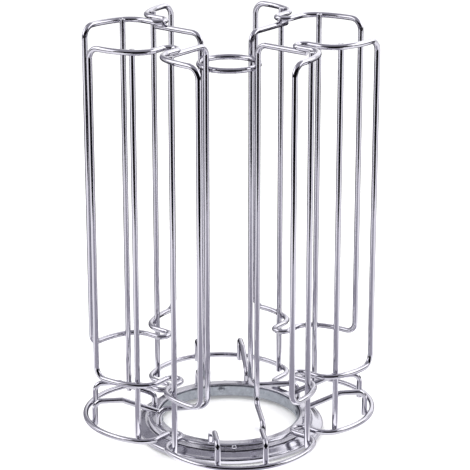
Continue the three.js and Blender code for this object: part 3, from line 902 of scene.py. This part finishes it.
class ShelfWiresOperator(Operator):
    """Bends the shelf wires that carry what a column holds"""

    bl_idname = "dispenser.shelf_wires"
    bl_label = "Shelf wires"

    def execute(self, context):
        rack, _, plan = sizes_of(context.scene)
        top = plan.base_ring_height + rack.shelf_height
        slope_start, bend_centre, fall = shelf_line(rack, plan)
        tied_end = bend_centre + fall * (rack.inner_bend - rack.shelf_past)
        leg_top = top - (slope_start - plan.leg_reach) * math.tan(rack.shelf_slope)
        near = plan.inner_side - plan.touch
        far = -rack.shelf_offset
        ends = {
            near: [Vector((tied_end.x, near, tied_end.z))],
            far: [
                Vector((plan.leg_reach, far, leg_top)),
                Vector((plan.leg_reach, far, plan.weld_height)),
            ],
        }
        for quarter, column in enumerate(COLUMNS):
            for side, offset in zip(side_names(quarter), (near, far)):
                foot = shelf_foot(plan, offset)
                corners = [
                    Vector((foot, offset, plan.base_ring_height - plan.wire_radius)),
                    Vector((foot, offset, top)),
                    Vector((slope_start, offset, top)),
                    *ends[offset],
                ]
                bm = bent_through(corners, rack.shelf_bend, rack)
                finish_wire(bm, f"shelf_wire_{column}_{side}", "bent", quarter)
        return {"FINISHED"}


def add_rod_welds(bm, rack, plan):
    column = Vector((rack.column_offset, 0.0, 0.0))
    for direction in (1, -1):
        outwards = polar(1.0, direction * rack.rod_angle, 0.0)
        for height in (plan.base_ring_height, plan.mouth_top, plan.hoop_height):
            place = column + outwards * (rack.hoop_radius - plan.touch / 2) + UP * height
            add_weld(bm, rack, place, outwards)


def add_shelf_welds(bm, rack, plan):
    near = plan.inner_side - plan.touch
    for offset in (near, -rack.shelf_offset):
        foot = Vector((shelf_foot(plan, offset), offset, plan.base_ring_height))
        outwards = (foot - Vector((plan.lobe_offset, 0.0, foot.z))).normalized()
        add_weld(bm, rack, foot + outwards * plan.touch / 2, outwards)
    collar = plan.wire_radius * COLLAR_SHARE
    for offset in (plan.inner_side, -rack.shelf_offset):
        leg = Vector((plan.leg_reach, offset, plan.cap_top))
        add_weld(bm, rack, leg, UP, (collar, collar))
    _, bend_centre, fall = shelf_line(rack, plan)
    beside = bend_centre + fall * rack.inner_bend
    beside.y = plan.inner_side - plan.touch / 2
    add_weld(bm, rack, beside, (0.0, 1.0, 0.0))


def add_corner_welds(bm, rack, plan):
    outwards = polar(1.0, HALFWAY, 0.0)
    tip = outwards * plan.cusp_reach
    add_weld(bm, rack, tip + UP * (plan.hoop_height - plan.touch / 2), UP)
    tip_bead = [rack.weld_reach * part for part in TIP_BEAD_SHARES]
    add_weld(bm, rack, tip + UP * plan.cap_top, UP, tip_bead, along=UP.cross(outwards))
    ring = outwards * (rack.inner_radius - plan.touch / 2)
    ring_height = plan.spoke_height - rack.centre_ring_drop
    add_weld(bm, rack, ring + UP * ring_height, outwards)


class WeldsOperator(Operator):
    """Adds the beads of fused metal where the wires are welded to each other and to the cap ring"""

    bl_idname = "dispenser.welds"
    bl_label = "Welds"

    def execute(self, context):
        rack, _, plan = sizes_of(context.scene)
        for quarter, corner in enumerate(CORNERS):
            bm = bmesh.new()
            add_rod_welds(bm, rack, plan)
            add_shelf_welds(bm, rack, plan)
            add_corner_welds(bm, rack, plan)
            finish_piece(bm, f"welds_{corner}", "rack", "chromed_wire", quarter=quarter)
        return {"FINISHED"}


class CapRingOperator(Operator):
    """Presses the cap ring, a channel open downwards, with its four dimples"""

    bl_idname = "dispenser.cap_ring"
    bl_label = "Cap ring"

    def execute(self, context):
        rack, table, plan = sizes_of(context.scene)
        inner_bottom = plan.race_top - table.sheet - table.retainer_drop + rack.gap
        outer_bottom = plan.shoulder_top + rack.gap
        edge = table.edge_rounding
        bm = turned_ring([
            (plan.cap_inner, inner_bottom, edge),
            (plan.cap_inner_face, inner_bottom, edge),
            (plan.cap_inner_face, plan.cap_underside, edge),
            (plan.cap_outer_face, plan.cap_underside, edge),
            (plan.cap_outer_face, outer_bottom, edge),
            (plan.cap_outer, outer_bottom, edge),
            (plan.cap_outer - table.cap_draft, plan.cap_top, table.cap_roll),
            (plan.cap_inner, plan.cap_top, table.press_rounding),
        ])
        # A pressed dimple stands out like a low dome with a soft edge, square to the leaning wall
        rise_shares = ((0.0, 1.0), (0.2, 0.97), (0.4, 0.88), (0.6, 0.7), (0.8, 0.4), (1.0, 0.0))
        # It starts behind the wall's curve, which falls away to both sides of the dimple
        sunk = table.dimple ** 2 / plan.cap_outer
        outline = [(table.dimple * out, table.dimple_rise * up - sunk) for out, up in rise_shares]
        outline += [(table.dimple, -table.dimple_root), (0.0, -table.dimple_root)]
        wall = plan.cap_top - outer_bottom
        middle = (plan.cap_outer - table.cap_draft / 2, outer_bottom + wall / 2)
        for quarter in range(len(COLUMNS)):
            turn = quarter * QUARTER - table.dimple_turn
            place = polar(middle[0], turn, middle[1])
            add_dome(bm, outline, place, polar(wall, turn, table.cap_draft))
        finish_piece(bm, "pressed_cap_ring", "rack", "chromed_sheet", ["turntable_cap_ring"])
        return {"FINISHED"}


class RetainingRingOperator(Operator):
    """Presses the retaining ring that holds the base ring from below"""

    bl_idname = "dispenser.retaining_ring"
    bl_label = "Retaining ring"

    def execute(self, context):
        _, table, plan = sizes_of(context.scene)
        top = plan.race_top - table.sheet - table.retainer_drop
        grip = plan.race_inner + table.retainer_grip
        collar_top = plan.rivet_height + table.rivet_head / 2
        edge = table.edge_rounding
        bm = turned_ring([
            (plan.collar_inner, top - table.collar_sheet, table.press_rounding),
            (grip, top - table.collar_sheet, edge),
            (grip, top, edge),
            (plan.collar_outer, top, edge),
            (plan.collar_outer, collar_top, edge),
            (plan.collar_inner, collar_top, edge),
        ])
        finish_piece(
            bm, "pressed_retaining_ring", "rack", "zinc_plated_steel", ["turntable_retaining_ring"]
        )
        return {"FINISHED"}


class RivetsOperator(Operator):
    """Sets the rivets through the cap ring and the retaining ring"""

    bl_idname = "dispenser.rivets"
    bl_label = "Rivets"

    def execute(self, context):
        rack, table, plan = sizes_of(context.scene)
        head_face = plan.collar_inner - rack.gap
        tail_start = plan.cap_inner_face + rack.gap / 2
        tail_end = tail_start + table.rivet_tail
        shank = table.rivet / 2
        spread = shank + table.tail_spread
        # Heights count towards the turning axis, so the places of the shank are negative
        dome_shares = ((0.0, 1.0), (0.5, 0.88), (0.8, 0.62), (0.95, 0.34), (1.0, 0.0))
        outline = [
            (table.rivet_head / 2 * out, table.rivet_dome * up - head_face)
            for out, up in dome_shares
        ]
        outline += [
            (shank, -head_face), (shank, -tail_start), (spread, -tail_start),
            (spread, -tail_end), (0.0, -tail_end),
        ]
        for quarter, column in enumerate(COLUMNS):
            bm = bmesh.new()
            add_dome(bm, outline, UP * plan.rivet_height, Vector((-1.0, 0.0, 0.0)))
            finish_piece(
                bm, f"domed_rivet_{column}", "rack", "zinc_plated_steel",
                [f"turntable_rivet_{column}"], quarter,
            )
        return {"FINISHED"}


class BallCageOperator(Operator):
    """Turns the flat cage and sets the balls in it"""

    bl_idname = "dispenser.ball_cage"
    bl_label = "Ball cage"

    def execute(self, context):
        _, table, plan = sizes_of(context.scene)
        low = plan.ball_height - table.cage_sheet / 2
        high = plan.ball_height + table.cage_sheet / 2
        inner = plan.race_radius - table.cage_width / 2
        outer = plan.race_radius + table.cage_width / 2
        edge = table.edge_rounding
        bm = turned_ring([
            (inner, low, edge), (outer, low, edge), (outer, high, edge), (inner, high, edge)
        ])
        cage_faces = len(bm.faces)
        for index in range(table.ball_count):
            turn = (index + 0.5) / table.ball_count * 2 * math.pi
            bmesh.ops.create_uvsphere(
                bm, u_segments=BALL_SIDES, v_segments=BALL_SIDES // 2, radius=table.ball / 2,
                matrix=Matrix.Translation(polar(plan.race_radius, turn, plan.ball_height)),
            )
        bm.faces.ensure_lookup_table()
        for face in bm.faces[cage_faces:]:
            face.material_index = 1
        finish_piece(
            bm, "ball_cage_with_balls", "ball_cage", "zinc_plated_steel",
            ["turntable_ball_cage"], other_finishes=["bearing_steel"],
        )
        return {"FINISHED"}


def flange_underside(table, plan):
    """Radius and height of the underside of the flange, from the shoulder out to the lip."""
    shoulder = plan.cap_outer + table.shoulder_width - table.sheet / 2
    flange = plan.table_radius - table.lip_curl - table.sheet / 2
    low = table.lip_clearance + table.lip_height
    lip = (plan.table_radius - table.sheet, low - table.sheet / 2)
    return [(shoulder, plan.shoulder_top - table.sheet), (flange, low), lip]


class TurntableBaseOperator(Operator):
    """Presses the turntable's base ring: a race, a shoulder, a flange and a rolled lip"""

    bl_idname = "dispenser.turntable_base"
    bl_label = "Turntable base"

    def execute(self, context):
        rack, table, plan = sizes_of(context.scene)
        race_outer = plan.cap_outer_face - rack.gap
        shoulder = plan.cap_outer + table.shoulder_width
        low = table.lip_clearance + table.lip_height
        edge = table.edge_rounding
        soft = table.press_rounding
        under = [(radius, height, edge) for radius, height in flange_underside(table, plan)]
        bm = turned_ring([
            (plan.race_inner, plan.race_top - table.sheet, edge),
            (race_outer, plan.race_top - table.sheet, edge),
            (plan.cap_outer - table.sheet / 2, plan.shoulder_top - table.sheet, edge),
            *under,
            (plan.table_radius - table.sheet, table.lip_clearance, edge),
            (plan.table_radius, table.lip_clearance, edge),
            (plan.table_radius, low + table.sheet - table.lip_fall, table.lip_rounding),
            (plan.table_radius - table.lip_curl, low + table.sheet, soft),
            (shoulder, plan.shoulder_top, soft),
            (plan.cap_outer_face + rack.gap, plan.shoulder_top, edge),
            (race_outer - rack.gap, plan.race_top, edge),
            (plan.race_inner, plan.race_top, edge),
        ])
        finish_piece(
            bm, "pressed_turntable_base", "turntable_base", "chromed_sheet", ["turntable_base_ring"]
        )
        return {"FINISHED"}


class RubberFeetOperator(Operator):
    """Moulds the rubber feet, whose tops follow the slope of the flange"""

    bl_idname = "dispenser.rubber_feet"
    bl_label = "Rubber feet"

    def execute(self, context):
        rack, table, plan = sizes_of(context.scene)
        reach = plan.table_radius - table.foot_inset
        flange = flange_underside(table, plan)
        under = [Vector((radius, 0.0, height - rack.gap)) for radius, height in flange]
        level = under[0] - Vector((table.foot, 0.0, 0.0))
        for quarter, corner in enumerate(CORNERS):
            bm = bmesh.new()
            bmesh.ops.create_cone(
                bm, cap_ends=True, segments=2 * BALL_SIDES, radius1=table.foot / 2,
                radius2=table.foot / 2, depth=plan.shoulder_top,
                matrix=Matrix.Translation((reach, 0.0, plan.shoulder_top / 2)),
            )
            for inner, outer in zip([level, *under], under):
                along = outer - inner
                cut = bmesh.ops.bisect_plane(
                    bm, geom=[*bm.verts, *bm.edges, *bm.faces], plane_co=outer,
                    plane_no=(-along.z, 0.0, along.x), clear_outer=True,
                )["geom_cut"]
                rim = [part for part in cut if isinstance(part, bmesh.types.BMEdge)]
                if rim:
                    bmesh.ops.edgeloop_fill(bm, edges=rim)
            rims = [edge for edge in bm.edges if edge.calc_face_angle(0.0) > SHARP_ANGLE]
            round_edges(bm, rims, table.foot_rounding)
            turn_about_axis(bm, HALFWAY)
            finish_piece(
                bm, f"moulded_foot_{corner}", "turntable_base", "black_rubber",
                [f"rubber_foot_{corner}"], quarter,
            )
        return {"FINISHED"}


def seen_directly(tree):
    """Nodes that give 1 where a ray comes from the camera, a reflection or through glass."""
    path = add_node(tree, "ShaderNodeLightPath")
    mirrored = add_node(
        tree, "ShaderNodeMath", {"operation": "ADD", "use_clamp": True},
        links={0: (path, "Is Camera Ray"), 1: (path, "Is Glossy Ray")},
    )
    return add_node(
        tree, "ShaderNodeMath", {"operation": "ADD", "use_clamp": True},
        links={0: (mirrored, "Value"), 1: (path, "Is Transmission Ray")},
    )


def add_sheet(name, across, back, up, material):
    """A flat rectangle of the stage, by its two ends across, towards the back and upwards."""
    start, end = (Vector(corner) for corner in zip(across, back, up))
    reach = end - start
    # A sheet that faces sideways is as wide as it reaches back
    width = Vector((reach.x, 0.0, 0.0)) if reach.x else Vector((0.0, reach.y, 0.0))
    depth = reach - width
    sides = Matrix([width, depth, width.cross(depth)]).transposed().to_4x4()
    bm = bmesh.new()
    bmesh.ops.create_grid(
        bm, x_segments=1, y_segments=1, size=0.5,
        matrix=Matrix.Translation(start + reach / 2) @ sides,
    )
    sheet = link_object(name, bm)
    sheet.data.materials.append(material)
    return sheet


def add_painted_reflection(name, across, back, up, tone, level=1.0):
    """A glowing card that only reflections see: a painted reflection of the room's light and shade
    on the mirror finishes.
    """
    material, tree = new_material(name.replace("_", " "))
    glow = add_node(
        tree, "ShaderNodeEmission", values={"Color": (*tone, 1.0), "Strength": level}
    )
    add_node(tree, "ShaderNodeOutputMaterial", links={"Surface": (glow, "Emission")})
    card = add_sheet(name, across, back, up, material)
    card.visible_camera = False
    card.visible_diffuse = False
    card.visible_shadow = False
    card.visible_transmission = False


def aimed_object(name, data, place, aim):
    """Puts a lamp or the camera in its place, turned to what it looks at."""
    made = bpy.data.objects.new(name, data)
    made.location = place
    made.rotation_euler = (Vector(aim) - Vector(place)).to_track_quat("-Z", "Y").to_euler()
    bpy.context.scene.collection.objects.link(made)
    return made


def add_softbox(name, place, aim, side, level):
    """A square softbox. Its power follows from its size and from how bright it looks."""
    data = bpy.data.lights.new(name, "AREA")
    data.shape = "SQUARE"
    data.size = side
    data.energy = level * math.pi * side ** 2
    lamp = aimed_object(name, data, place, aim)
    lamp.visible_camera = False
    return lamp


def add_table(studio):
    # Matt white table: it shows the rack's soft shadow and is lifted to white where it is seen
    material, tree = new_material("matt white table")
    matt = add_node(tree, "ShaderNodeBsdfDiffuse", values={"Color": (*studio.table_colour, 1.0)})
    lift = add_node(
        tree, "ShaderNodeMath", {"operation": "MULTIPLY"},
        values={1: studio.table_lift}, links={0: (seen_directly(tree), "Value")},
    )
    glow = add_node(tree, "ShaderNodeEmission", links={"Strength": (lift, "Value")})
    both = add_node(tree, "ShaderNodeAddShader", links={0: (matt, "BSDF"), 1: (glow, "Emission")})
    add_node(tree, "ShaderNodeOutputMaterial", links={"Surface": (both, "Shader")})
    ends = (-studio.table_half, studio.table_half)
    add_sheet("table", ends, ends, (0.0, 0.0), material)


def add_front_cards(studio):
    """Painted reflections of the unlit room, the shaded ceiling and the shaded table on the
    camera's side, and a painted highlight of the bright table right in front.
    """
    front = -studio.dark_distance
    add_painted_reflection(
        "dark_front_card", (-studio.dark_left, studio.dark_right), (front, front),
        (0.0, studio.dark_step), studio.dark_colour,
    )
    add_painted_reflection(
        "wide_dark_card", (-studio.dark_width, studio.dark_width), (front, front),
        (studio.dark_step, studio.dark_height), studio.dark_colour,
    )
    add_painted_reflection(
        "grey_hood", (-studio.hood_width, studio.hood_width), (front, front + studio.hood_depth),
        (studio.dark_height, studio.hood_height), studio.hood_colour,
    )
    # Painted shade of the table in front, then a painted highlight that glows brighter than the lit
    # table
    flat = (studio.card_lift, studio.card_lift)
    near = -studio.grey_start
    add_painted_reflection(
        "grey_front_card", (-studio.grey_width, studio.grey_width), (front, near), flat,
        studio.grey_colour,
    )
    add_painted_reflection(
        "near_front_card", (-studio.near_width, studio.near_width), (near, -studio.near_start),
        flat, studio.table_colour, studio.near_level,
    )


def add_back_cards(studio):
    """Painted reflections of the shaded table and wall behind the rack, and of the wall above:
    painted shade on the left and a painted highlight, glowing brighter than white, on the right.
    """
    across = (-studio.back_width, studio.back_width)
    wall = (studio.back_depth, studio.back_depth)
    flat = (studio.card_lift, studio.card_lift)
    add_painted_reflection(
        "flat_back_card", across, (studio.back_start, studio.back_depth), flat, studio.back_colour
    )
    add_painted_reflection("upright_back_card", across, wall, (0.0, studio.back_height), studio.back_colour)
    above = (studio.back_height, studio.back_height + studio.rear_height)
    far = studio.rear_start + studio.rear_width
    add_painted_reflection(
        "bright_rear_card", (studio.rear_start, far), wall, above, studio.table_colour,
        studio.rear_level,
    )
    add_painted_reflection("grey_rear_card", (-studio.rear_start, -far), wall, above, studio.hood_colour)


def add_side_cards(studio):
    """Painted reflections: a painted highlight of the bright table under the softboxes, and painted
    shade of the dark beyond it and of the grey beside the rack.
    """
    beside = (-studio.side_front, studio.side_back)
    far = studio.side_start + studio.side_width
    # The bright cards lie below the back card where they cross it
    low = (studio.card_lift / 2, studio.card_lift / 2)
    for side, sign in SIDES:
        add_painted_reflection(
            f"{side}_side_card", (sign * studio.side_start, sign * far), beside, low,
            studio.table_colour, studio.side_level,
        )
    for side, sign in SIDES:
        add_painted_reflection(
            f"{side}_dark_card", (sign * far, sign * far), beside, (0.0, studio.side_dark),
            studio.dark_colour,
        )
    flat = (studio.card_lift, studio.card_lift)
    for side, sign in SIDES:
        add_painted_reflection(
            f"{side}_grey_card", (sign * studio.grey_start, sign * studio.side_near),
            (-studio.grey_start, studio.side_back), flat, studio.grey_colour, studio.side_grey,
        )


def add_lamps(studio):
    aim = UP * (CAD_BOX[0].z + CAD_BOX[1].z) / 2
    for side, sign in SIDES:
        place = Vector((sign * studio.box_distance, studio.box_back, studio.box_height))
        add_softbox(f"{side}_softbox", place, aim, studio.box_size, studio.box_level)
    above = UP * studio.top_height
    top = add_softbox("top_softbox", above, aim, studio.box_size, studio.top_level)
    top.visible_glossy = False


def add_room(scene, studio):
    world = bpy.data.worlds.new("white room")
    world.use_nodes = True
    tree = world.node_tree
    tree.nodes.clear()
    level = add_node(
        tree, "ShaderNodeMapRange", values={"To Min": studio.room_level, "To Max": 1.0},
        links={"Value": (seen_directly(tree), "Value")},
    )
    white = add_node(
        tree, "ShaderNodeBackground", values={"Color": (1.0, 1.0, 1.0, 1.0)},
        links={"Strength": (level, "Result")},
    )
    add_node(tree, "ShaderNodeOutputWorld", links={"Surface": (white, "Background")})
    scene.world = world


def add_camera(scene, studio):
    data = bpy.data.cameras.new("camera")
    data.lens = studio.camera_lens
    scene.camera = aimed_object("camera", data, studio.camera_place, studio.camera_aim)


class StudioOperator(Operator):
    """Sets the table, the cards, the softboxes, the white room and the camera"""

    bl_idname = "dispenser.studio"
    bl_label = "Studio"

    def execute(self, context):
        studio = context.scene.dispenser_studio
        add_table(studio)
        add_front_cards(studio)
        add_back_cards(studio)
        add_side_cards(studio)
        add_lamps(studio)
        add_room(context.scene, studio)
        add_camera(context.scene, studio)
        context.scene.view_settings.view_transform = "Standard"
        return {"FINISHED"}


class DispenserPanel(Panel):
    """Sizes and steps of the dispenser"""

    bl_idname = "VIEW3D_PT_dispenser"
    bl_label = "Capsule dispenser"
    bl_space_type = "VIEW_3D"
    bl_region_type = "UI"
    bl_category = "Dispenser"

    def draw(self, context):
        for step in STEPS:
            self.layout.operator(step.bl_idname)
        for group in SETTINGS:
            box = self.layout.box()
            values = getattr(context.scene, group)
            for name in SETTINGS[group].__annotations__:
                box.prop(values, name)


SETTINGS = {
    "dispenser_rack": RackSizes,
    "dispenser_turntable": TurntableSizes,
    "dispenser_finish": FinishSettings,
    "dispenser_studio": StudioSettings,
}
STEPS = (
    StudioOperator,
    BaseRingOperator,
    CornerFramesOperator,
    RodsOperator,
    InnerUprightsOperator,
    CentreRingOperator,
    ShelfWiresOperator,
    WeldsOperator,
    CapRingOperator,
    RetainingRingOperator,
    RivetsOperator,
    BallCageOperator,
    TurntableBaseOperator,
    RubberFeetOperator,
)
CLASSES = (*SETTINGS.values(), *STEPS, DispenserPanel)


def register():
    for each in CLASSES:
        bpy.utils.register_class(each)
    for name, group in SETTINGS.items():
        setattr(bpy.types.Scene, name, PointerProperty(type=group))


def unregister():
    for name in SETTINGS:
        delattr(bpy.types.Scene, name)
    for each in reversed(CLASSES):
        bpy.utils.unregister_class(each)


def main():
    register()
    bpy.ops.dispenser.studio()
    bpy.ops.dispenser.base_ring()
    bpy.ops.dispenser.corner_frames()
    bpy.ops.dispenser.rods()
    bpy.ops.dispenser.inner_uprights()
    bpy.ops.dispenser.centre_ring()
    bpy.ops.dispenser.shelf_wires()
    bpy.ops.dispenser.welds()
    bpy.ops.dispenser.cap_ring()
    bpy.ops.dispenser.retaining_ring()
    bpy.ops.dispenser.rivets()
    bpy.ops.dispenser.ball_cage()
    bpy.ops.dispenser.turntable_base()
    bpy.ops.dispenser.rubber_feet()


if __name__ == "__main__":
    main()
